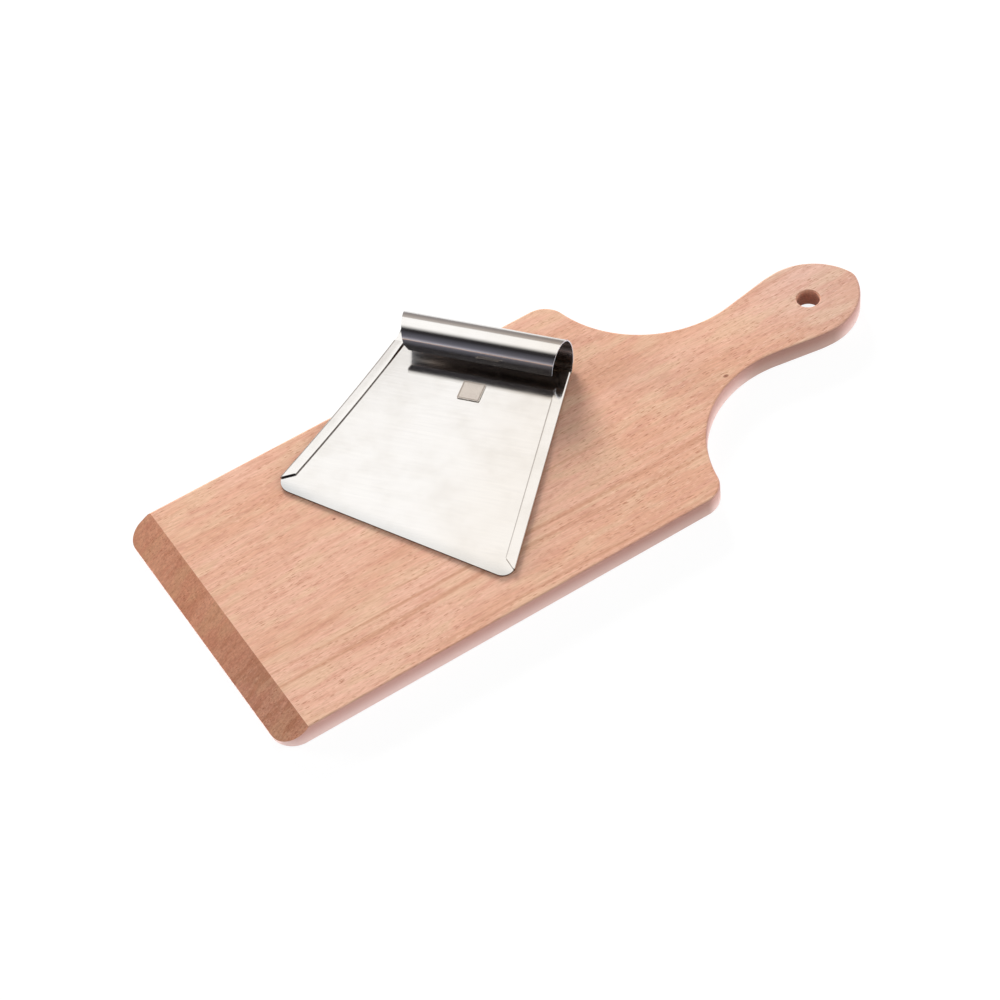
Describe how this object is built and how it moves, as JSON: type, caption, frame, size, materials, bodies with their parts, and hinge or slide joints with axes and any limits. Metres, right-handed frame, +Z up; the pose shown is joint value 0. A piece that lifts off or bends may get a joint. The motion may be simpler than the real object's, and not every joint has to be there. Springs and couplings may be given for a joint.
{
  "type": "spaetzle scraper with board",
  "caption": "Flat beech board with a bevelled end, a handle and a hanging hole, and a sheet steel scraper with a rolled grip lying on it, for scraping spaetzle dough.",
  "frame": {"origin": "on the board's flat underside, halfway along the board and on its centre line", "axes": "+X along the board from its bevelled end towards the handle's tip, +Y across it, +Z up out of its top"},
  "size_m": [0.3634, 0.177, 0.0288],
  "materials": {
    "beech": "fine sanded, lightly oiled",
    "stainless_steel": "polished",
    "sticker": "satin, bare"
  },
  "bodies": {
    "board": {"board": "beech"},
    "scraper": {"scraper": "stainless_steel", "label": "sticker"}
  },
  "joints": [
    {"name": "scraper_lift", "type": "slide", "parent": "board", "child": "scraper", "axis": [0, 0, 1], "range_m": [0, 0.08]}
  ]
}
